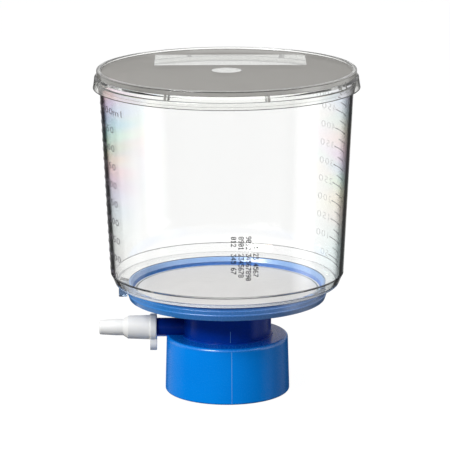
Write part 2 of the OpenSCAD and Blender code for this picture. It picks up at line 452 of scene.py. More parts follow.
class Recipe:
    """Node tree of one material or world, with short calls for the nodes that finishes use."""

    def __init__(self, name: str, surround: bool = False) -> None:
        """Starts an empty material.

        Args:
            name: Name of the material.
            surround: Makes a world in place of a material.
        """
        self.owner = (bpy.data.worlds if surround else bpy.data.materials).new(name)
        self.owner.use_nodes = True
        self.tree = self.owner.node_tree
        self.tree.nodes.clear()
        kind = "ShaderNodeOutputWorld" if surround else "ShaderNodeOutputMaterial"
        self.output = self.tree.nodes.new(kind)

    def node(self, kind: str, inputs: dict | None = None, **settings: object) -> bpy.types.Node:
        """Adds a node.

        Args:
            kind: Blender's name of the node type.
            inputs: Value, or socket to link, for each input by name or number.
            settings: Attributes of the node.

        Returns:
            The node.
        """
        made = self.tree.nodes.new(kind)
        for key, value in settings.items():
            setattr(made, key, value)
        for key, value in (inputs or {}).items():
            if isinstance(value, Socket):
                self.tree.links.new(value, made.inputs[key])
            else:
                made.inputs[key].default_value = value
        return made

    def math(self, operation: str, *values: Number) -> Socket:
        """Result of a Math node on numbers or sockets."""
        made = self.node("ShaderNodeMath", dict(enumerate(values)), operation=operation)
        return made.outputs[0]

    def place(self) -> Socket:
        """Object coordinates, in metres."""
        return self.node("ShaderNodeTexCoord").outputs["Object"]

    def axes(self) -> tuple[Socket, ...]:
        """Object coordinates across, deep and up, in metres."""
        return tuple(self.node("ShaderNodeSeparateXYZ", {0: self.place()}).outputs)

    def noise(self, scale: float, detail: float = 2.0, rough: float = 0.5) -> Socket:
        """Height of a noise on the object's own coordinates.

        Args:
            scale: Waves in a metre.
            detail: Octaves.
            rough: Strength of the fine octaves.

        Returns:
            The noise, about 0.5 on average.
        """
        inputs = {"Vector": self.place(), "Scale": scale, "Detail": detail, "Roughness": rough}
        return self.node("ShaderNodeTexNoise", inputs).outputs["Fac"]

    def span(self, value: Number, low: float, high: float, to_low: float, to_high: float) -> Socket:
        """Value moved from one range to another and clamped to it.

        Args:
            value: Socket to read.
            low: Start of its range.
            high: End of its range.
            to_low: Result at the start.
            to_high: Result at the end.

        Returns:
            The result's socket.
        """
        inputs = {0: value, 1: low, 2: high, 3: to_low, 4: to_high}
        return self.node("ShaderNodeMapRange", inputs).outputs[0]

    def rising(self, value: Socket, low: float, high: float) -> Socket:
        """0 below a place in millimetres and 1 above another."""
        return self.span(value, low * MM, high * MM, 0.0, 1.0)

    def spread(self, noise: Socket, low: float, high: float) -> Socket:
        """Noise spread between two values, which its crests and hollows reach."""
        return self.span(noise, 0.3, 0.7, low, high)

    def blend(self, share: Number, first: Tone, second: Tone) -> Socket:
        """Colour between two colours.

        Args:
            share: Share of the second, as a number or socket.
            first: First colour or socket.
            second: Second colour or socket.

        Returns:
            The colour's socket.
        """
        colours = [(*c, 1.0) if isinstance(c, tuple) else c for c in (first, second)]
        inputs = {0: share, 6: colours[0], 7: colours[1]}
        return self.node("ShaderNodeMix", inputs, data_type="RGBA").outputs[2]

    def bump(self, height: Socket, depth: float) -> Socket:
        """Normal of a relief.

        Args:
            height: Socket from 0 to 1.
            depth: Height of the relief in millimetres.

        Returns:
            The normal's socket.
        """
        inputs = {"Height": height, "Distance": depth * MM, "Strength": 1.0}
        return self.node("ShaderNodeBump", inputs).outputs["Normal"]

    def mix(self, share: Number, first: Socket, second: Socket) -> Socket:
        """Shader between two shaders, share being that of the second."""
        return self.node("ShaderNodeMixShader", {0: share, 1: first, 2: second}).outputs[0]

    def principled(self, inputs: dict[str, object]) -> Socket:
        """Principled shader with its inputs by name."""
        return self.node("ShaderNodeBsdfPrincipled", inputs).outputs[0]

    def see_through(self, share: float) -> Socket:
        """Shader that lets a share of the light straight through."""
        return self.node("ShaderNodeBsdfTransparent", {0: (share, share, share, 1.0)}).outputs[0]

    def lamp_ray(self) -> Socket:
        """1 for the rays that light a surface, 0 for those that look at it."""
        path = self.node("ShaderNodeLightPath")
        return self.math("MAXIMUM", path.outputs["Is Shadow Ray"], path.outputs["Is Diffuse Ray"])

    def pick(self, test: Number, if_true: Number, if_false: Number) -> Socket:
        """One of two numbers or sockets, by a test from 0 to 1."""
        gap = self.math("SUBTRACT", if_true, if_false)
        return self.math("MULTIPLY_ADD", gap, test, if_false)

    def ramp(self, value: Socket, stops: list[tuple[float, Colour]]) -> Socket:
        """Colour of a ramp.

        Args:
            value: Socket from 0 to 1.
            stops: Place and colour of each stop, in rising order.

        Returns:
            The colour's socket.
        """
        made = self.node("ShaderNodeValToRGB", {0: value})
        made.color_ramp.interpolation = "EASE"
        for position, _ in stops[1:-1]:
            made.color_ramp.elements.new(position)
        for element, (position, colour) in zip(made.color_ramp.elements, stops):
            element.position = position
            element.color = (*colour, 1.0)
        return made.outputs["Color"]

    def finish(self, shader: Socket) -> bpy.types.ID:
        """Links the last shader and returns the material or world."""
        self.tree.links.new(shader, self.output.inputs["Surface"])
        return self.owner


@dataclass(frozen=True)
class MouldedPlastic:
    """Opaque moulded plastic with slight flow marks and a fine skin."""

    name: str
    colour: Colour
    shade: Colour
    roughness: float = 0.34
    gloss: float = 0.35
    grain: float = 0.012
    flow_scale: float = 60.0
    skin_scale: float = 2600.0
    uneven: Point = (-0.05, 0.06)

    def tone(self, recipe: Recipe) -> Tone:
        """Colour with its flow marks."""
        flow = recipe.spread(recipe.noise(self.flow_scale, 3), 0.0, 1.0)
        return recipe.blend(flow, self.colour, self.shade)

    def sheen(self, recipe: Recipe) -> Number:
        """Strength of the mirrored light."""
        return self.gloss

    def material(self) -> bpy.types.Material:
        """Builds the plastic's node tree.

        Returns:
            Its material.
        """
        recipe = Recipe(self.name)
        skin = recipe.noise(self.skin_scale, 2)
        smooth, rough = (self.roughness + step for step in self.uneven)
        inputs = {
            "Base Color": self.tone(recipe),
            "Roughness": recipe.spread(skin, smooth, rough),
            "Specular IOR Level": self.sheen(recipe),
            "Normal": recipe.bump(skin, self.grain),
        }
        return recipe.finish(recipe.principled(inputs))


@dataclass(frozen=True)
class BasePlastic(MouldedPlastic):
    """Blue plastic of the base, with painted shade on the neck and side arm, painted light and
    reflection on the dish and its rim, and glossier on the dish.
    """

    # Painted shade: the neck and side arm are darker blue for the shadow under the dish.
    neck: Colour = linear(0, 68, 184)
    arm: Colour = linear(0, 42, 134)
    # Painted light and reflection: the dish ramps from saturated blue on the left to greyer blue on
    # the right.
    dish: tuple[Colour, ...] = (linear(20, 126, 206), linear(66, 126, 200), linear(124, 162, 222))
    # Painted light and shade of the rim seen through the clear flange: pale at the back, a pale top
    # band and a dark lower band in front.
    rim: Colour = linear(150, 186, 236)
    rim_front_painted_light: Colour = linear(206, 211, 220)
    rim_front_painted_shade: Colour = linear(24, 60, 128)
    dish_gloss: float = 0.9
    edge_gloss: float = 0.9
    arm_end: Point = (-18.0, -15.0)
    dish_ends: Point = (-40.0, 40.0)
    edge_band: Point = (21.2, 21.6)
    neck_low: float = 22.6
    dish_low: float = 37.9
    rim_low: float = 42.9
    rim_top: Point = (43.6, 43.7)
    rim_turn: Point = (-24.0, -6.0)
    fade: float = 0.4

    def above(self, recipe: Recipe, height: Socket, low: float) -> Socket:
        """0 below a height in millimetres and 1 a little above it."""
        return recipe.rising(height, low, low + self.fade)

    def tone(self, recipe: Recipe) -> Tone:
        """Colour of collar, neck, side arm, dish and rim by place, with painted shade on neck and
        arm and painted light on dish and rim.

        Args:
            recipe: Recipe that gets the nodes.

        Returns:
            The colour's socket.
        """
        across, deep, height = recipe.axes()
        # Painted shade on the side arm and the neck.
        neck = recipe.blend(recipe.rising(across, *self.arm_end), self.arm, self.neck)
        collar = super().tone(recipe)
        lower = recipe.blend(self.above(recipe, height, self.neck_low), collar, neck)
        # Painted light and reflection across the dish, from left to right.
        stops = [(i / 2, colour) for i, colour in enumerate(self.dish)]
        side = recipe.ramp(recipe.rising(across, *self.dish_ends), stops)
        # Painted light and shade on the rim, as seen through the clear flange.
        top = recipe.rising(height, *self.rim_top)
        front = recipe.blend(top, self.rim_front_painted_shade, self.rim_front_painted_light)
        rim = recipe.blend(recipe.rising(deep, *self.rim_turn), front, self.rim)
        dish = recipe.blend(self.above(recipe, height, self.rim_low), side, rim)
        return recipe.blend(self.above(recipe, height, self.dish_low), lower, dish)

    def sheen(self, recipe: Recipe) -> Number:
        """Strength of the mirrored light, more on the dish and on the collar's top edge.

        Args:
            recipe: Recipe that gets the nodes.

        Returns:
            The strength, as a socket.
        """
        *_, height = recipe.axes()
        below = recipe.math("SUBTRACT", 1.0, self.above(recipe, height, self.neck_low))
        edge = recipe.math("MULTIPLY", recipe.rising(height, *self.edge_band), below)
        lower = recipe.pick(edge, self.edge_gloss, self.gloss)
        return recipe.pick(self.above(recipe, height, self.dish_low), self.dish_gloss, lower)


# Stress colours of the clear wall, painted on as a rainbow sheen that stands for the colours the
# wall shows where it is seen at a slant: height in millimetres, then red, green and blue.
LEFT_PAINTED_RAINBOW = (
    (44, 242, 242, 240),
    (58, 240, 243, 240),
    (66, 232, 240, 240),
    (73, 218, 228, 240),
    (80, 230, 218, 240),
    (86, 246, 206, 218),
    (91, 252, 216, 200),
    (95, 236, 244, 206),
    (100, 180, 240, 222),
    (105, 176, 224, 242),
    (110, 200, 200, 244),
    (114, 240, 208, 230),
    (122, 252, 226, 206),
)
RIGHT_PAINTED_RAINBOW = (
    (45, 241, 247, 248),
    (66, 233, 248, 248),
    (73, 247, 247, 242),
    (80, 253, 241, 233),
    (87, 251, 250, 227),
    (94, 226, 248, 244),
    (99, 239, 233, 251),
    (104, 253, 232, 239),
    (112, 250, 248, 235),
    (121, 226, 241, 248),
    (124, 236, 236, 247),
)


@dataclass(frozen=True)
class ClearPlastic:
    """Clear polystyrene with soft stress colours, painted as a rainbow sheen on two opposite sides,
    and a painted blue-grey shade on the lug.
    """

    name: str
    refraction: float = 1.59
    colour_start: float = 32.0
    colour_end: float = 49.0
    colour_strength: float = 0.8
    body: Colour = (0.992, 0.994, 0.99)
    lamp_share: float = 0.96
    # Painted shade: below the lug's top the clear plastic is tinted blue-grey, for the blue base
    # and its shade seen through the lug.
    lug: Colour = linear(88, 110, 140)
    lug_top: Point = (43.0, 43.4)
    slope: float = 0.12
    wave: float = 2.0

    @staticmethod
    def stops(tints: tuple[tuple[int, ...], ...]) -> list[tuple[float, Colour]]:
        """Ramp stops of stress colours that are given by height in millimetres."""
        low, high = tints[0][0], tints[-1][0]
        return [((height - low) / (high - low), linear(*colour)) for height, *colour in tints]

    def tint(self, recipe: Recipe) -> Socket:
        """Colour of the plastic: clear in front, a painted rainbow sheen towards both sides and a
        painted blue-grey shade on the lug.

        Args:
            recipe: Recipe that gets the nodes.

        Returns:
            The colour's socket.
        """
        across, _, up = recipe.axes()
        side = recipe.math("ABSOLUTE", across)
        start, end = self.colour_start * MM, self.colour_end * MM
        share = recipe.span(side, start, end, 0.0, self.colour_strength)
        wave = recipe.spread(recipe.noise(30, 1), -self.wave * MM, self.wave * MM)
        height = recipe.math("MULTIPLY_ADD", across, self.slope, recipe.math("ADD", up, wave))
        colours = []
        # Painted rainbow sheen by height, on the left and on the right side.
        for tints in (LEFT_PAINTED_RAINBOW, RIGHT_PAINTED_RAINBOW):
            place = recipe.rising(height, tints[0][0], tints[-1][0])
            colours.append(recipe.ramp(place, self.stops(tints)))
        right = recipe.rising(across, -1.0, 1.0)
        clear = recipe.blend(share, self.body, recipe.blend(right, *colours))
        # Painted blue-grey shade on the lug.
        return recipe.blend(recipe.rising(up, *self.lug_top), self.lug, clear)

    def shader(self, recipe: Recipe) -> Socket:
        """Clear shader that lets lamp light through.

        Args:
            recipe: Recipe that gets the nodes.

        Returns:
            The shader's socket.
        """
        inputs = {
            "Base Color": self.tint(recipe),
            "Roughness": 0.0,
            "IOR": self.refraction,
            "Transmission Weight": 1.0,
        }
        glass, through = recipe.principled(inputs), recipe.see_through(self.lamp_share)
        return recipe.mix(recipe.lamp_ray(), glass, through)

    def material(self) -> bpy.types.Material:
        """Builds the clear plastic's node tree and returns its material."""
        recipe = Recipe(self.name)
        return recipe.finish(self.shader(recipe))


LID_CLEAR = ClearPlastic("lid_clear", colour_strength=0.0, body=(0.93, 0.935, 0.91))


@dataclass(frozen=True)
class FrostedLid:
    """Lid plastic: clear lip and skirt, frosted top with a clear window and a clear spot."""

    name: str
    disc: float
    window_low: Point = (-29.0, 11.6)
    window_high: Point = (32.0, 37.0)
    spot: float = 6.0
    # The frost's grey is partly the frosted plastic's own tone and partly painted shade for the dim
    # light on the lid's top.
    frost: Colour = linear(140, 138, 134)
    clear: ClearPlastic = LID_CLEAR
    soft_edge: float = 0.25
    cloud: Point = (0.94, 1.04)
    roughness: float = 0.6
    relief: float = 0.01
    cover: float = 0.86
    through: float = 0.95
    veil: float = 0.9

    def mask(self, recipe: Recipe) -> Socket:
        """Share of frost: 1 on the disc, 0 on the lip, in the window and in the spot.

        Args:
            recipe: Recipe that gets the nodes.

        Returns:
            The share's socket.
        """
        across, deep, _ = recipe.axes()
        squares = recipe.math("MULTIPLY_ADD", across, across, recipe.math("MULTIPLY", deep, deep))
        radius = recipe.math("SQRT", squares)

        def inside(value: Socket, edge: float) -> Socket:
            """1 where a distance is under an edge in millimetres, with a soft border."""
            half = self.soft_edge / 2
            return recipe.span(value, (edge - half) * MM, (edge + half) * MM, 1.0, 0.0)

        def strip(value: Socket, low: float, high: float) -> Socket:
            """1 between two places along an axis, with soft borders."""
            middle = recipe.math("SUBTRACT", value, (low + high) / 2 * MM)
            return inside(recipe.math("ABSOLUTE", middle), (high - low) / 2)

        window = recipe.math(
            "MULTIPLY",
            strip(across, self.window_low[0], self.window_high[0]),
            strip(deep, self.window_low[1], self.window_high[1]),
        )
        bare = recipe.math("MAXIMUM", window, inside(radius, self.spot))
        frosted = recipe.math("SUBTRACT", 1.0, bare)
        return recipe.math("MULTIPLY", inside(radius, self.disc), frosted)

    def material(self) -> bpy.types.Material:
        """Builds the lid's node tree.

        Returns:
            Its material.
        """
        recipe = Recipe(self.name)
        grain = recipe.noise(3800, 2)
        cloud = recipe.spread(recipe.noise(42, 3), *self.cloud)
        light = tuple(channel * 1.05 for channel in self.frost)
        inputs = {
            "Base Color": recipe.blend(cloud, BLACK, light),
            "Roughness": self.roughness,
            "Alpha": self.cover,
            "Normal": recipe.bump(grain, self.relief),
        }
        veil = recipe.math("MULTIPLY", recipe.lamp_ray(), self.veil)
        frosted = recipe.mix(veil, recipe.principled(inputs), recipe.see_through(self.through))
        return recipe.finish(recipe.mix(self.mask(recipe), self.clear.shader(recipe), frosted))


@dataclass(frozen=True)
class Fibre:
    """Matt fibrous stuff, such as the filter membrane or cotton."""

    name: str
    colour: Colour
    shade: Colour
    scale: float
    depth: float
    sheen: float = 0.0
    roughness: Point = (0.82, 0.96)

    def material(self) -> bpy.types.Material:
        """Builds the fibre's node tree.

        Returns:
            Its material.
        """
        recipe = Recipe(self.name)
        fine = recipe.noise(self.scale, 4, 0.65)
        cloud = recipe.spread(recipe.noise(self.scale / 40, 3), 0.0, 1.0)
        inputs = {
            "Base Color": recipe.blend(cloud, self.colour, self.shade),
            "Roughness": recipe.spread(fine, *self.roughness),
            "Sheen Weight": self.sheen,
            "Normal": recipe.bump(fine, self.depth),
        }
        return recipe.finish(recipe.principled(inputs))


@dataclass(frozen=True)
class Ink:
    """Thin print, raised figures and rings of painted shade, partly clear."""

    name: str
    colour: Colour
    cover: float
    roughness: float = 0.45

    def material(self) -> bpy.types.Material:
        """Builds the ink's node tree.

        Returns:
            Its material.
        """
        recipe = Recipe(self.name)
        speck = recipe.span(recipe.noise(2200, 2), 0.35, 0.65, 0.75, 1.0)
        inputs = {
            "Base Color": recipe.blend(speck, BLACK, self.colour),
            "Roughness": self.roughness,
            "Alpha": self.cover,
        }
        return recipe.finish(recipe.principled(inputs))


@dataclass
class Base:
    """Blue base in one piece: threaded collar, neck, dish, drip spout and side arm."""

    collar_radius: float = 25.1
    collar_height: float = 22.8
    collar_draft: float = 0.65
    collar_edge: float = 1.2
    ceiling: float = 2.0
    crest_radius: float = 21.6
    lead_in: float = 1.2
    gasket_radius: float = 22.3
    gasket_thickness: float = 1.5
    neck_radius: float = 17.7
    neck_wall: float = 1.8
    neck_length: float = 16.6
    foot_height: float = 0.8
    foot_width: float = 0.6
    floor_thickness: float = 1.2
    seat_radius: float = 37.6
    rim_thickness: float = 1.3
    rim_height: float = 3.1
    side_step: float = 0.45
    band_step: float = 0.2
    ledge_depth: float = 2.8
    chamfer: float = 0.25
    hem: Point = (2.6, 1.0)
    bevel: Point = (0.6, 1.9)
    lip_height: float = 0.3
    groove: Point = (0.8, 1.1)
    groove_roof: Point = (0.3, 0.2)
    spout_radius: float = 5.0
    spout_bore: float = 3.5
    funnel_drop: float = 2.6
    spout_rise: float = 1.6
    spout_slant: float = 15.0
    arm_radius: float = 3.8
    arm_bore: float = 2.5
    arm_rise: float = 2.7
    arm_chamfer: float = 0.5
    arm_steps: int = 72
    bore_steps: int = 64
    thread_start: float = 2.8
    thread_pitch: float = 4.0
    thread_turns: float = 2.5
    thread_depth: float = 1.1
    thread_inset: float = 0.4
    thread_half: Point = (1.1, 0.5)
    turn_steps: int = 96
    seam_angle: float = 4.0
    seam_width: float = 0.22
    seam_start: float = 0.4
    neck_seam: float = 4.6
    seam_proud: float = 0.07

    def section(self) -> list[Point]:
        """Outline of the body from the collar's mouth round to its crests.

        Returns:
            The closed section, with its roundings.
        """
        _, top = node_box("base")
        dish_radius, dish_top = top.x, top.z
        dish_low = self.collar_height + self.neck_length
        floor = dish_low + self.floor_thickness
        ceiling = self.collar_height - self.ceiling
        inner = self.neck_radius - self.neck_wall
        spout_tip = ceiling - self.gasket_thickness + self.spout_rise
        rim = dish_radius - self.rim_thickness
        side, band = dish_radius - self.side_step, dish_radius - self.band_step
        hem = dish_low - self.hem[1]
        lip = hem + self.bevel[1]
        ledge = dish_top - self.ledge_depth
        seat = dish_top - self.rim_height
        groove = self.seat_radius + self.groove[0]
        roof = seat + self.groove[1]
        return rounded(
            [
                (self.crest_radius + self.lead_in, 0.0, 0.25),
                (self.collar_radius, 0.0, 0.8),
                (self.collar_radius - self.collar_draft, self.collar_height, self.collar_edge),
                (self.neck_radius + self.foot_width, self.collar_height, 0.3),
                (self.neck_radius + self.foot_width, self.collar_height + self.foot_height, 0.25),
                (self.neck_radius, self.collar_height + self.foot_height, 0.2),
                (self.neck_radius, dish_low, 0.9),
                (dish_radius - self.hem[0], dish_low, 0.2),
                (dish_radius - self.hem[0] + self.chamfer, hem, 0.15),
                (dish_radius - self.bevel[0], hem, 0.2),
                (dish_radius, lip, 0.12),
                (dish_radius, lip + self.lip_height, 0.12),
                (band, lip + self.lip_height + self.chamfer, 0.1),
                (band, ledge, 0.1),
                (side, ledge + self.chamfer, 0.1),
                (side, dish_top, 0.25),
                (rim, dish_top, 0.25),
                (self.seat_radius + self.groove_roof[0], roof + self.groove_roof[1], 0.1),
                (groove, roof, 0.1),
                (groove, seat, 0.1),
                (self.seat_radius, seat, 0.1),
                (self.seat_radius, floor, 0.15),
                (inner, floor, 0.4),
                (self.spout_bore, floor - self.funnel_drop, 0.8),
                (self.spout_bore, spout_tip, 0.1),
                (self.spout_radius, spout_tip, 0.2),
                (self.spout_radius, dish_low - self.funnel_drop, 0.8),
                (inner, dish_low - self.neck_wall / 2, 0.6),
                (inner, ceiling, 0.2),
                (self.gasket_radius, ceiling, 0.1),
                (self.gasket_radius, ceiling - self.gasket_thickness, 0.1),
                (self.crest_radius, ceiling - self.gasket_thickness, 0.1),
                (self.crest_radius, self.lead_in, 0.15),
            ]
        )

    def arm_height(self) -> float:
        """Height of the side arm's axis."""
        return self.collar_height + self.arm_rise

    def arm(self) -> bpy.types.Object:
        """Makes the side arm as a solid rod with a chamfered tip.

        Returns:
            The rod, which starts inside the neck's wall.
        """
        low, _ = node_box("base")
        reach = -low.x
        root = self.neck_radius - self.neck_wall / 2
        return Bench.turned(
            "side_arm",
            rounded(
                [
                    (0.0, root, 0.0),
                    (self.arm_radius, root, 0.0),
                    (self.arm_radius, reach - self.arm_chamfer, 0.25),
                    (self.arm_radius - self.arm_chamfer, reach, 0.2),
                    (0.0, reach, 0.0),
                ]
            ),
            Axis.ALONG,
            self.arm_height(),
            self.arm_steps,
        )

    def arm_drill(self) -> bpy.types.Object:
        """Makes the drill for the arm's bore.

        Returns:
            The drill, longer than the arm at both ends.
        """
        low, _ = node_box("base")
        start = self.neck_radius - 2 * self.neck_wall
        end = -low.x + self.neck_wall
        bore = [(0.0, start), (self.arm_bore, start), (self.arm_bore, end), (0.0, end)]
        return Bench.turned("arm_drill", bore, Axis.ALONG, self.arm_height(), self.bore_steps)

    def thread_tool(self) -> bpy.types.Object:
        """Makes the helical tool that cuts the thread groove into the collar's crests.

        Returns:
            The tool.
        """
        near = self.crest_radius - self.thread_inset
        far = self.crest_radius + self.thread_depth
        wide, narrow = self.thread_half
        section = [(near, -wide), (far, -narrow), (far, narrow), (near, wide)]
        return Bench.swept(
            "thread_tool",
            [(x, self.thread_start + z) for x, z in section],
            360 * self.thread_turns,
            self.thread_pitch * self.thread_turns,
            round(self.turn_steps * self.thread_turns),
        )

    def slanted_tip(self) -> bpy.types.Object:
        """Makes the block that cuts the drip spout's tip at a slant.

        Returns:
            The block.
        """
        tip = self.collar_height - self.ceiling - self.gasket_thickness + self.spout_rise
        wide = 2 * self.spout_radius
        tool = Bench.block("tip_cut", (-wide, -wide, -wide), (wide, wide, 0.0))
        tool.rotation_euler.y = math.radians(self.spout_slant)
        tool.location.z = (tip + math.tan(math.radians(self.spout_slant)) * self.spout_radius) * MM
        Bench.settle(tool)
        return tool

    def seam(self) -> bpy.types.Object:
        """Makes the fine parting line down the front of the neck and the collar.

        Returns:
            Both stretches of the line, as one piece.
        """
        foot = self.collar_height + self.foot_height
        collar_top = self.collar_height - self.collar_edge
        spans = [
            (
                (self.collar_radius, self.seam_start),
                (self.collar_radius - self.collar_draft, collar_top),
            ),
            ((self.neck_radius, foot), (self.neck_radius, foot + self.neck_seam)),
        ]
        half, proud = self.seam_width / 2, self.seam_proud
        lines = []
        for (wide, low), (narrow, high) in spans:
            line = Bench.block("seam", (-half, -proud, 0.0), (half, proud, high - low), proud / 2)
            line.matrix_world = (
                Matrix.Rotation(math.radians(self.seam_angle), 4, "Z")
                @ Matrix.Translation(Vector((0, -wide, low)) * MM)
                @ Matrix.Rotation(-math.atan((wide - narrow) / (high - low)), 4, "X")
            )
            Bench.settle(line)
            lines.append(line)
        seam = Bench.join(lines)
        seam.name = seam.data.name = "parting_line"
        return seam

    def build(self) -> None:
        """Models the base and dresses it in blue plastic."""
        body = Bench.turned("filter_base", self.section())
        Bench.combine(body, self.arm(), "UNION")
        Bench.combine(body, self.arm_drill(), "DIFFERENCE")
        Bench.combine(body, self.slanted_tip(), "DIFFERENCE")
        Bench.combine(body, self.thread_tool(), "DIFFERENCE")
        Bench.smooth(body)
        # The blue carries painted shade on the neck and arm, and painted light and reflection on
        # the dish and rim.
        blue = BasePlastic("blue_polymer", linear(0, 140, 243), linear(0, 135, 239), 0.25, 0.12)
        Bench.hand_over(body, blue.material(), Body.FILTER, Slot.BLUE, "base")
        seam = self.seam()
        Bench.smooth(seam)
        # The parting line is a real ridge; its pale blue is a painted highlight where the ridge
        # catches the light.
        seam_highlight = MouldedPlastic("blue_seam_painted_highlight", linear(110, 176, 244), linear(100, 170, 240))
        Bench.hand_over(seam, seam_highlight.material(), Body.FILTER, Slot.BLUE)


@dataclass
class Inserts:
    """Flat pieces inside the base, and the cotton in its side arm."""

    membrane_edge: float = 0.06
    ring_width: float = 4.6
    ring_edge: float = 0.3
    cotton_edge: float = 1.0
    cotton_steps: int = 48

    def membrane(self) -> None:
        """Models the filter membrane as a thin sheet with soft edges."""
        low, high = node_box("membrane")
        edge = self.membrane_edge
        disc = Bench.turned(
            "filter_membrane",
            rounded([(0, low.z, 0), (high.x, low.z, edge), (high.x, high.z, edge), (0, high.z, 0)]),
        )
        Bench.smooth(disc)
        paper = Fibre("membrane_sheet", linear(241, 240, 239), linear(235, 234, 233), 5200, 0.006)
        Bench.hand_over(disc, paper.material(), Body.FILTER, Slot.MEMBRANE, "membrane")

    def sealing_ring(self) -> None:
        """Models the sealing ring under the collar's ceiling."""
        low, high = node_box("neck_gasket")
        bore, rim, edge = high.x - self.ring_width, high.x, self.ring_edge
        ring = Bench.turned(
            "sealing_ring",
            rounded(
                [(bore, low.z, edge), (rim, low.z, edge), (rim, high.z, edge), (bore, high.z, edge)]
            ),
        )
        Bench.smooth(ring)
        rubber = MouldedPlastic(
            "seal_foam", linear(232, 232, 228), linear(222, 222, 218), 0.7, 0.2, 0.03
        )
        Bench.hand_over(ring, rubber.material(), Body.FILTER, Slot.GASKET, "neck_gasket")

    def support(self) -> None:
        """Dresses the slotted support plate, whose frame node already has its form."""
        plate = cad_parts["membrane_support"]
        colour, shade = linear(226, 228, 228), linear(218, 220, 220)
        Bench.dress(plate, MouldedPlastic("support_polymer", colour, shade, 0.45).material())

    def cotton(self) -> None:
        """Models the cotton plug as a soft rod with round edges."""
        low, high = node_box("cotton_plug")
        middle, radius = (low.z + high.z) / 2, (high.z - low.z) / 2
        near, far, edge = -high.x, -low.x, self.cotton_edge
        plug = Bench.turned(
            "cotton_wad",
            rounded([(0, near, 0), (radius, near, edge), (radius, far, edge), (0, far, 0)]),
            Axis.ALONG,
            middle,
            self.cotton_steps,
        )
        colour, shade = (0.86, 0.85, 0.81), (0.78, 0.77, 0.72)
        Bench.smooth(plug, 80)
        cotton = Fibre("cotton_fluff", colour, shade, 3000, 0.3, 0.4)
        Bench.hand_over(plug, cotton.material(), Body.FILTER, Slot.COTTON, "cotton_plug")

    def build(self) -> None:
        """Models and dresses all the inserts."""
        self.membrane()
        self.sealing_ring()
        self.support()
        self.cotton()


@dataclass(frozen=True)
class WallFace:
    """Outer face of the chamber's wall, from its foot to its bead."""

    low: Point
    high: Point

    def radius(self, height: float) -> float:
        """Radius of the face at a height."""
        share = (height - self.low[1]) / (self.high[1] - self.low[1])
        return self.low[0] + share * (self.high[0] - self.low[0])

    def put(
        self, mark: bpy.types.Object, azimuth: float, height: float, lift: float, turn: float
    ) -> None:
        """Stands a mark on the face.

        Args:
            mark: Mark that lies in the XY plane, facing up, round the origin.
            azimuth: Place round the wall, in degrees from +X towards +Y.
            height: Height of its middle.
            lift: Distance of its middle from the face.
            turn: Turn of the mark in its own plane, in degrees.
        """
        lean = math.atan2(self.high[0] - self.low[0], self.high[1] - self.low[1])
        place = Vector((0, -self.radius(height) - lift, height)) * MM
        mark.matrix_world = (
            Matrix.Rotation(math.radians(azimuth + 90), 4, "Z")
            @ Matrix.Translation(place)
            @ Matrix.Rotation(math.pi / 2 + lean, 4, "X")
            @ Matrix.Rotation(math.radians(turn), 4, "Z")
        )
        Bench.settle(mark)


@dataclass
class Chamber:
    """Clear funnel chamber with its chamfered corner, its flange round the dish and its lug."""

    foot_wall: float = 1.5
    rim_wall: float = 1.1
    bead_height: float = 1.6
    bead_width: float = 0.35
    flare: float = 3.65
    corner_rise: float = 4.2
    corner_step: float = 1.7
    foot_rise: float = 0.1
    inner_foot: float = 1.15
    inner_rise: float = 0.3
    flange: float = 1.5
    flange_step: float = 0.15
    hole_step: float = 0.47
    lug_length: float = 3.4
    lug_width: float = 5.0
    lug_clear: float = 0.1
    lug_edge: float = 0.3
    colour: ClearPlastic = ClearPlastic("clear_polymer")

    def levels(self) -> dict[str, float]:
        """Radii and heights that come from the frame, by name.

        Returns:
            Each radius or height, in millimetres.
        """
        _, base = node_box("base")
        low, high = node_box("chamber")
        wall_top = high.x - self.bead_width
        corner = wall_top - self.flare
        return {
            "dish_radius": base.x,
            "dish_top": base.z,
            "rim": high.z,
            "lowest": low.z,
            "bead": high.x,
            "wall_top": wall_top,
            "corner": corner,
            "corner_z": base.z + self.corner_rise,
            "foot": corner - self.corner_step,
            "foot_z": base.z + self.foot_rise,
        }

    def section(self) -> list[Point]:
        """Outline of the chamber, from the flange's hole out, up the wall and back down.

        Returns:
            The closed section, with its roundings.
        """
        at = self.levels()
        hole = at["dish_radius"] - self.hole_step
        floor = at["dish_top"] + self.flange_step
        inner = self.inner_foot
        return rounded(
            [
                (hole, floor - self.flange, 0.05),
                (at["foot"], at["foot_z"], 0.45),
                (at["corner"], at["corner_z"], 0.15),
                (at["wall_top"], at["rim"] - self.bead_height, 0.1),
                (at["bead"], at["rim"] - self.bead_height, 0.12),
                (at["bead"], at["rim"], 0.45),
                (at["wall_top"] - self.rim_wall, at["rim"], 0.35),
                (at["corner"] - self.foot_wall, at["corner_z"] + self.inner_rise, 0.2),
                (at["foot"] - inner, at["foot_z"] + inner, 1.0),
                (hole, floor, 0.03),
            ]
        )

    def face(self) -> WallFace:
        """Outer face of the wall, for the marks on it.

        Returns:
            The face, from the chamfered corner to the bead.
        """
        at = self.levels()
        return WallFace(
            (at["corner"], at["corner_z"]), (at["wall_top"], at["rim"] - self.bead_height)
        )

    def lug(self) -> bpy.types.Object:
        """Makes the lug that hangs from the flange beside the arm.

        Returns:
            The lug.
        """
        at = self.levels()
        outer = at["dish_radius"] + self.lug_clear + self.lug_length
        return Bench.block(
            "lug",
            (-outer, -self.lug_width / 2, at["lowest"]),
            (-outer + self.lug_length, self.lug_width / 2, at["dish_top"]),
            self.lug_edge,
        )

    def build(self) -> None:
        """Models the chamber and dresses it in clear plastic."""
        shell = Bench.turned("funnel_chamber", self.section())
        Bench.combine(shell, self.lug(), "UNION")
        Bench.smooth(shell, 40)
        Bench.hand_over(shell, self.colour.material(), Body.FILTER, Slot.CLEAR, "chamber")


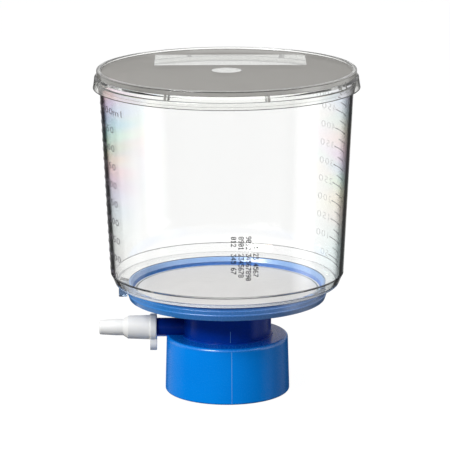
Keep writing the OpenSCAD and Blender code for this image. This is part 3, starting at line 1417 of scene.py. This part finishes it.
@dataclass
class PaintedShadeLines:
    """Fine dark rings of painted shade where the chamber's moulded corner, its foot and the
    membrane's seal show dark edges by refraction.

    The corner and the foot are places on the chamber's outline, as radius and height.
    """

    corner: Point
    foot: Point
    inner_step: Point = (-1.5, 0.3)
    foot_step: Point = (-0.3, -0.06)
    half_width: float = 0.15
    proud: float = 0.02
    # Painted shade of the dark lines; they are not features of the unit.
    shade: Colour = linear(52, 54, 60)
    seal: float = 36.5
    seal_half_width: float = 0.3
    seal_painted_shade: Colour = linear(150, 160, 150)

    def build(self) -> None:
        """Models the painted shade lines as fine rings and dresses them."""
        (corner, height), (foot, low) = self.corner, self.foot
        upright, flat = (self.proud, self.half_width), (self.half_width, self.proud)
        inner = (corner + self.inner_step[0], height + self.inner_step[1])
        below = (foot + self.foot_step[0], low + self.foot_step[1])
        # Each ring is painted shade standing for a dark refraction edge.
        for name, middle, across, cover in (
            ("corner_painted_line", self.corner, upright, 0.7),
            ("inner_painted_line", inner, upright, 0.3),
            ("foot_painted_line", below, flat, 0.6),
        ):
            line = Bench.fine_ring(name, middle, across)
            ink = Ink(f"{name}_shade", self.shade, cover)
            Bench.hand_over(line, ink.material(), Body.FILTER, Slot.CLEAR)
        _, membrane = node_box("membrane")
        middle, across = (self.seal, membrane.z), (self.seal_half_width, self.proud)
        seal = Bench.fine_ring("seal_painted_line", middle, across)
        ink = Ink("seal_painted_shade", self.seal_painted_shade, 0.8)
        Bench.hand_over(seal, ink.material(), Body.FILTER, Slot.MEMBRANE)


@dataclass
class Graduations:
    """Two scales of raised figures and ticks, on opposite sides of the chamber's wall.

    Heights and sizes are in millimetres. The start, the pitch of the figures, the place and
    length of the ticks and the right scale's turn run round the wall, in degrees.
    """

    face: WallFace
    full: int = 500
    step: int = 50
    unit: str = "ml"
    full_height: float = 118.1
    spacing: float = 7.46
    figure: float = 4.0
    widen: float = 1.75
    thin: float = 0.06
    pitch: float = 4.8
    start: float = 180.0
    figures_from: float = 16.2
    thickness: float = 0.16
    lift: float = 0.03
    tick_from: float = -3.0
    tick_long: float = 17.0
    tick_short: float = 12.0
    right_turn: float = 9.0
    tick_width: float = 0.4
    tick_proud: float = 0.16
    shade: Colour = linear(104, 98, 108)

    def figures(self, text: str, height: float) -> list[bpy.types.Object]:
        """Makes the raised figures of one number.

        Args:
            text: Number, with its unit if it has one.
            height: Height of its middle.

        Returns:
            One mesh for each character.
        """
        made = []
        for i, character in enumerate(text):
            Bench.clear()
            bpy.ops.object.text_add()
            figure = bpy.context.object
            figure.data.body = character
            figure.data.align_x = figure.data.align_y = "CENTER"
            figure.data.size = self.figure * MM
            figure.data.extrude = self.thickness / 2 * MM
            figure.data.offset = -self.thin * MM
            figure.data.resolution_u = 2
            bpy.ops.object.convert(target="MESH")
            figure = bpy.context.object
            figure.scale.x = self.widen
            Bench.settle(figure)
            azimuth = self.start + self.figures_from + i * self.pitch
            self.face.put(figure, azimuth, height, self.lift, 0)
            made.append(figure)
        return made

    def tick(self, height: float, length: float) -> bpy.types.Object:
        """Makes one raised tick.

        Args:
            height: Height of its middle.
            length: Its length round the wall, in degrees.

        Returns:
            The tick, as a short curved bar.
        """
        half = self.tick_width / 2
        low, high = self.face.radius(height - half), self.face.radius(height + half)
        section = [
            (low - self.lift, height - half),
            (low + self.tick_proud, height - half / 2),
            (high + self.tick_proud, height + half / 2),
            (high - self.lift, height + half),
        ]
        tick = Bench.swept("tick", section, length, 0.0, max(2, round(length / 2)))
        tick.rotation_euler.z = math.radians(self.start + self.tick_from)
        Bench.settle(tick)
        return tick

    def build(self) -> None:
        """Models both scales and dresses them."""
        figures, ticks = [], []
        for i in range(self.full // self.step):
            volume = self.full - i * self.step
            height = self.full_height - i * self.spacing
            figures += self.figures(f"{volume}{self.unit if i == 0 else ''}", height)
            ticks.append(self.tick(height, self.tick_long))
            if volume > self.step:
                ticks.append(self.tick(height - self.spacing / 2, self.tick_short))
        for marks, name, left_cover, right_cover in (
            (figures, "figures", 0.5, 0.17),
            (ticks, "ticks", 0.5, 0.7),
        ):
            left = Bench.join(marks)
            right = Bench.copied(left)
            right.rotation_euler.z = math.radians(180 + self.right_turn)
            Bench.settle(right)
            for scale, side, cover in ((left, "left", left_cover), (right, "right", right_cover)):
                scale.name = scale.data.name = f"scale_{name}_{side}"
                ink = Ink(f"{name}_{side}_ink", self.shade, cover)
                Bench.hand_over(scale, ink.material(), Body.FILTER, Slot.CLEAR)


@dataclass
class LotBlock:
    """Four printed lines of dotted counting figures, turned on their side."""

    face: WallFace
    lines: tuple[str, ...] = ("012  345 67", "8901 2345678", "9012 34567890", "   1 23 4567")
    top: float = 73.5
    pitch: float = 1.375
    first: float = 272.95
    line_step: float = 3.5
    dot: float = 0.19
    dot_step: Point = (0.22, 0.29)
    thickness: float = 0.05

    # Seven rows of each figure from the top, with five dots a row as a binary number.
    FIGURES = {
        "0": (14, 17, 19, 21, 25, 17, 14),
        "1": (4, 12, 4, 4, 4, 4, 14),
        "2": (14, 17, 1, 2, 4, 8, 31),
        "3": (31, 2, 4, 2, 1, 17, 14),
        "4": (2, 6, 10, 18, 31, 2, 2),
        "5": (31, 16, 30, 1, 1, 17, 14),
        "6": (6, 8, 16, 30, 17, 17, 14),
        "7": (31, 1, 2, 4, 8, 8, 8),
        "8": (14, 17, 17, 14, 17, 17, 14),
        "9": (14, 17, 17, 15, 1, 2, 12),
    }

    def figure(self, character: str) -> bpy.types.Object:
        """Makes one dotted figure that lies in the XY plane.

        Args:
            character: Digit to make.

        Returns:
            The figure, as one mesh of six-sided dots.
        """
        rows = self.FIGURES[character]
        places = [
            ((column - 2) * self.dot_step[0], (3 - row) * self.dot_step[1])
            for row, bits in enumerate(rows)
            for column in range(5)
            if bits >> (4 - column) & 1
        ]
        dots = {"vertices": 6, "radius": self.dot * MM, "depth": self.thickness * MM}
        Bench.clear()
        bpy.ops.mesh.primitive_cylinder_add(location=(*(v * MM for v in places[0]), 0), **dots)
        figure = Bench.named(f"figure_{character}")
        Bench.settle(figure)
        bpy.ops.object.mode_set(mode="EDIT")
        for x, y in places[1:]:
            bpy.ops.mesh.primitive_cylinder_add(location=(x * MM, y * MM, 0), **dots)
        bpy.ops.object.mode_set(mode="OBJECT")
        return figure

    def build(self) -> None:
        """Models the lines and dresses them as a dark print."""
        models = {character: self.figure(character) for character in self.FIGURES}
        marks = []
        for line, text in enumerate(self.lines):
            for row, character in enumerate(text):
                if character == " ":
                    continue
                mark = Bench.copied(models[character])
                azimuth = self.first + line * self.line_step
                height = self.top - row * self.pitch
                self.face.put(mark, azimuth, height, self.thickness / 4, -90)
                marks.append(mark)
        for model in models.values():
            bpy.data.objects.remove(model)
        block = Bench.join(marks)
        block.name = block.data.name = "lot_block"
        ink = Ink("black_print", linear(16, 16, 22), 0.95)
        Bench.hand_over(block, ink.material(), Body.FILTER, Slot.CLEAR)


@dataclass
class Lid:
    """Lid with its lip, stepped skirt and the ribs that hold it off the chamber."""

    top: float = 1.4
    lip_height: float = 0.8
    lip_width: float = 1.8
    lip_set_in: float = 1.4
    wall: float = 0.9
    clear: float = 0.3
    step_drop: float = 2.2
    step_rise: float = 0.7
    step_width: float = 0.8
    rib_count: int = 8
    rib_width: float = 1.1
    rib_length: float = 2.6
    rib_sink: float = 0.6
    rib_gap: float = 0.03
    rib_turn: float = 18.0
    rib_edge: float = 0.12
    frost_gap: float = 0.15
    line_half: Point = (0.02, 0.12)
    painted_line_shade: Colour = linear(60, 60, 58)

    def build(self) -> None:
        """Models the lid, dresses it in frosted and clear plastic and adds two rings of painted
        shade.
        """
        low, high = node_box("lid")
        _, chamber = node_box("chamber")
        inner = chamber.x + self.clear
        lip = high.x - self.lip_set_in
        lip_inside = lip - self.lip_width
        top = high.z - self.lip_height
        under = top - self.top
        step = top - self.step_drop
        disc = Bench.turned(
            "chamber_lid",
            rounded(
                [
                    (0.0, under, 0.0),
                    (inner, under, 0.3),
                    (high.x - self.wall, low.z, 0.2),
                    (high.x, low.z, 0.0),
                    (lip + self.step_width, step, 0.25),
                    (lip, step + self.step_rise, 0.2),
                    (lip, high.z, 0.45),
                    (lip_inside, high.z, 0.5),
                    (lip_inside, top, 0.2),
                    (0.0, top, 0.0),
                ]
            ),
        )
        rib = Bench.block(
            "rib",
            (-self.rib_width / 2, -inner - self.rib_sink, chamber.z + self.rib_gap),
            (self.rib_width / 2, -inner + self.rib_length, under + self.rib_sink),
            self.rib_edge,
        )
        Bench.combine(disc, Bench.around(rib, self.rib_count, self.rib_turn), "UNION")
        Bench.smooth(disc, 40)
        frosted = FrostedLid("lid_polymer", lip_inside - self.frost_gap)
        Bench.hand_over(disc, frosted.material(), Body.LID, Slot.FROSTED, "lid")
        # Painted shade: two fine dark rings at the lip and the hem, for the dark edges that the
        # clear lid shows by refraction.
        out, up = self.line_half
        for name, middle, cover in (
            ("lip_painted_line", (lip_inside, top + up), 0.5),
            ("hem_painted_line", (high.x - out, low.z + up + 2 * out), 0.55),
        ):
            line = Bench.fine_ring(name, middle, self.line_half)
            ink = Ink(f"{name}_shade", self.painted_line_shade, cover)
            Bench.hand_over(line, ink.material(), Body.LID, Slot.FROSTED)


@dataclass
class HoseAdapter:
    """White push-on hose adapter with its barrel, nipple, flange and pull tab."""

    socket: float = 3.85
    barrel: float = 5.0
    barrel_end: float = 4.65
    flange: float = 5.5
    flange_thickness: float = 2.7
    tab_reach: float = 4.0
    tab_width: float = 7.0
    shoulder: float = 1.9
    nipple: float = 3.3
    nipple_land: float = 3.0
    nipple_tip: float = 2.9
    bore: float = 1.8
    stop_gap: float = 0.4
    grip: float = 11.6
    barrel_steps: int = 96
    bore_steps: int = 72
    tab_steps: int = 48

    def tab(self, height: float, near: float) -> bpy.types.Object:
        """Makes the pull tab that hangs from the flange.

        Args:
            height: Height of the adapter's axis.
            near: Distance of the flange's face from the unit's axis.

        Returns:
            The tab, with a round end.
        """
        half = self.tab_width / 2
        end = self.flange + self.tab_reach - half
        far = near + self.flange_thickness
        tab = Bench.block("tab", (-far, -half, height - end), (-near, half, height))
        tip = [(0.0, near), (half, near), (half, far), (0.0, far)]
        round_end = Bench.turned("tab_end", tip, Axis.ALONG, height - end, self.tab_steps)
        Bench.combine(tab, round_end, "UNION")
        return tab

    def build(self) -> None:
        """Models the adapter and dresses it in white plastic."""
        low, _ = node_box("hose_adapter")
        base_low, _ = node_box("base")
        height = Base().arm_height()
        shoulder = -base_low.x
        near = shoulder - self.grip
        root = shoulder + self.shoulder
        tip = -low.x
        rod = Bench.turned(
            "hose_nipple",
            rounded(
                [
                    (0.0, near, 0.0),
                    (self.flange, near, 0.4),
                    (self.flange, near + self.flange_thickness, 0.4),
                    (self.barrel - 0.05, near + self.flange_thickness, 0.3),
                    (self.barrel_end, shoulder, 0.5),
                    (self.nipple, root, 0.5),
                    (self.nipple, root + self.nipple_land, 2.0),
                    (self.nipple_tip, tip, 0.8),
                    (0.0, tip, 0.0),
                ]
            ),
            Axis.ALONG,
            height,
            self.barrel_steps,
        )
        Bench.combine(rod, self.tab(height, near), "UNION")
        socket_end = shoulder + self.stop_gap
        bore = [
            (0.0, near - 1),
            (self.socket, near - 1),
            (self.socket, socket_end),
            (self.bore, socket_end),
            (self.bore, tip + 1),
            (0.0, tip + 1),
        ]
        drill = Bench.turned("bore", bore, Axis.ALONG, height, self.bore_steps)
        Bench.combine(rod, drill, "DIFFERENCE")
        Bench.smooth(rod)
        colour, shade = linear(243, 243, 241), linear(240, 240, 238)
        white = MouldedPlastic("white_polymer", colour, shade, 0.38, 0.4)
        Bench.hand_over(rod, white.material(), Body.ADAPTER, Slot.WHITE, "hose_adapter")


@dataclass(frozen=True)
class SoftLamp:
    """Square soft lamp that is aimed at the unit, with its sizes in millimetres.

    Its power is the brightness on a white surface that faces it, 1 being white. The turn is
    from the front towards +X and the rise is above the horizon, both in degrees.
    """

    name: str
    turn: float
    rise: float
    distance: float
    size: float
    power: float

    def light(self, target: Vector) -> None:
        """Adds the lamp.

        Args:
            target: Place that it lights, in metres.
        """
        turn, rise = math.radians(self.turn), math.radians(self.rise)
        level = Vector((math.sin(turn), -math.cos(turn), 0))
        away = level * math.cos(rise) + Vector((0, 0, math.sin(rise)))
        distance = self.distance * MM
        Bench.clear()
        bpy.ops.object.light_add(type="AREA", location=target + away * distance)
        lamp = bpy.context.object
        lamp.name = self.name
        lamp.rotation_euler = (-away).to_track_quat("-Z", "Y").to_euler()
        lamp.data.size = self.size * MM
        lamp.data.energy = self.power * (math.pi * distance) ** 2


@dataclass
class Studio:
    """White floor and surround, plain soft lamps and the camera."""

    camera_distance: float = 1122.4
    camera_rise: float = 13.1
    target_height: float = 67.67
    side_step: float = -0.8
    lens: float = 224.46
    roll: float = -0.17
    ambient: float = 0.16
    seen_through: float = 1.168
    mirrored: float = 0.68
    edge_dark: float = 0.04
    edge_start: Point = (0.16, 0.24)
    through_edge: Point = (0.16, 0.21)
    through_dark: float = 0.64
    edge_end: Point = (0.50, 0.60)
    edge_end_right: Point = (0.64, 0.74)
    window: float = 1.92
    window_start: Point = (0.86, 0.96)
    glow: float = 1.07
    bounce: float = 0.2
    lamps: tuple[SoftLamp, ...] = (
        SoftLamp("key", -38, 34, 900, 420, 0.98),
        SoftLamp("fill", 66, 40, 1000, 300, 0.13),
        SoftLamp("overhead", 10, 84, 900, 600, 0.35),
    )

    def world(self) -> None:
        """Makes the surround: white where it is looked at, even and plain as light.

        Mirrored rays find it darker beside what lies straight behind, which draws the edges
        of clear pieces, and in front, apart from a bright window at the far right.
        """
        recipe = Recipe("surround", surround=True)
        bpy.context.scene.world = recipe.owner
        path = recipe.node("ShaderNodeLightPath")
        ways = recipe.node("ShaderNodeTexCoord").outputs["Generated"]
        way = recipe.node("ShaderNodeSeparateXYZ", {0: ways})
        across, deep, height = way.outputs
        side = recipe.math("ABSOLUTE", across)
        over = recipe.span(across, -0.01, 0.01, 0.0, 1.0)
        left, right = (
            recipe.span(side, *end, 1.0, 0.0) for end in (self.edge_end, self.edge_end_right)
        )
        start = recipe.span(side, *self.edge_start, 0.0, 1.0)
        dark = recipe.math("MULTIPLY", start, recipe.pick(over, right, left))
        back = recipe.pick(dark, self.edge_dark, self.mirrored)
        window = recipe.span(across, *self.window_start, 0.0, 1.0)
        front = recipe.pick(window, self.window, self.edge_dark)
        behind = recipe.span(deep, -0.1, 0.1, 0.0, 1.0)
        level = recipe.span(height, 0.0, 0.1, 1.0, 0.0)
        mirrored = recipe.pick(level, recipe.pick(behind, back, front), self.mirrored)
        reflected = recipe.math("GREATER_THAN", path.outputs["Glossy Depth"], 0.5)
        beside = recipe.span(across, *self.through_edge, 0.0, 1.0)
        bent = recipe.pick(beside, self.through_dark, self.seen_through)
        through = recipe.pick(path.outputs["Is Transmission Ray"], bent, self.ambient)
        strength = recipe.pick(
            path.outputs["Is Camera Ray"], 1.0, recipe.pick(reflected, mirrored, through)
        )
        plain = {"Color": (1.0, 1.0, 1.0, 1.0), "Strength": strength}
        recipe.finish(recipe.node("ShaderNodeBackground", plain).outputs[0])

    def floor(self) -> None:
        """Lays a large white floor that keeps a faint shadow and isn't mirrored."""
        Bench.clear()
        bpy.ops.mesh.primitive_plane_add(size=12, location=(0, 0, -0.05 * MM))
        floor = Bench.named("studio_floor")
        recipe = Recipe("floor_white")
        path = recipe.node("ShaderNodeLightPath")
        grey = recipe.span(path.outputs["Is Camera Ray"], 0.0, 1.0, self.bounce, 0.8)
        matt = recipe.node("ShaderNodeBsdfDiffuse", {0: grey})
        glow = recipe.node("ShaderNodeEmission", {0: (1.0, 1.0, 1.0, 1.0), 1: self.glow})
        looked_at = recipe.math("MULTIPLY", path.outputs["Is Camera Ray"], 0.92)
        seen = recipe.mix(looked_at, matt.outputs[0], glow.outputs[0])
        mirrored, bent = path.outputs["Is Glossy Ray"], path.outputs["Is Transmission Ray"]
        gone = recipe.math("MAXIMUM", mirrored, bent)
        Bench.dress(floor, recipe.finish(recipe.mix(gone, seen, recipe.see_through(1.0))))

    def camera(self) -> None:
        """Sets up the camera."""
        lift = math.radians(self.camera_rise)
        back = Vector((0, -math.cos(lift), math.sin(lift)))
        target = Vector((self.side_step, 0, self.target_height)) * MM
        Bench.clear()
        bpy.ops.object.camera_add(location=target + back * self.camera_distance * MM)
        camera = bpy.context.object
        camera.rotation_euler = (-back).to_track_quat("-Z", "Y").to_euler()
        camera.rotation_euler.rotate_axis("Z", math.radians(self.roll))
        camera.data.lens = self.lens
        camera.data.clip_end = 20
        bpy.context.scene.camera = camera

    def build(self) -> None:
        """Sets up camera, floor, surround and lamps."""
        self.camera()
        self.floor()
        self.world()
        for lamp in self.lamps:
            lamp.light(Vector((0, 0, self.target_height * MM)))
        bpy.context.scene.view_settings.view_transform = "Standard"


def main() -> None:
    """Builds the unit piece by piece and its studio."""
    logging.basicConfig(level=logging.INFO, format="%(name)s: %(message)s")
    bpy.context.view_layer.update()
    Base().build()
    Inserts().build()
    chamber = Chamber()
    chamber.build()
    at = chamber.levels()
    PaintedShadeLines(chamber.face().low, (at["foot"], at["foot_z"])).build()
    Graduations(chamber.face()).build()
    LotBlock(chamber.face()).build()
    Lid().build()
    HoseAdapter().build()
    Studio().build()


if __name__ == "__main__":
    main()
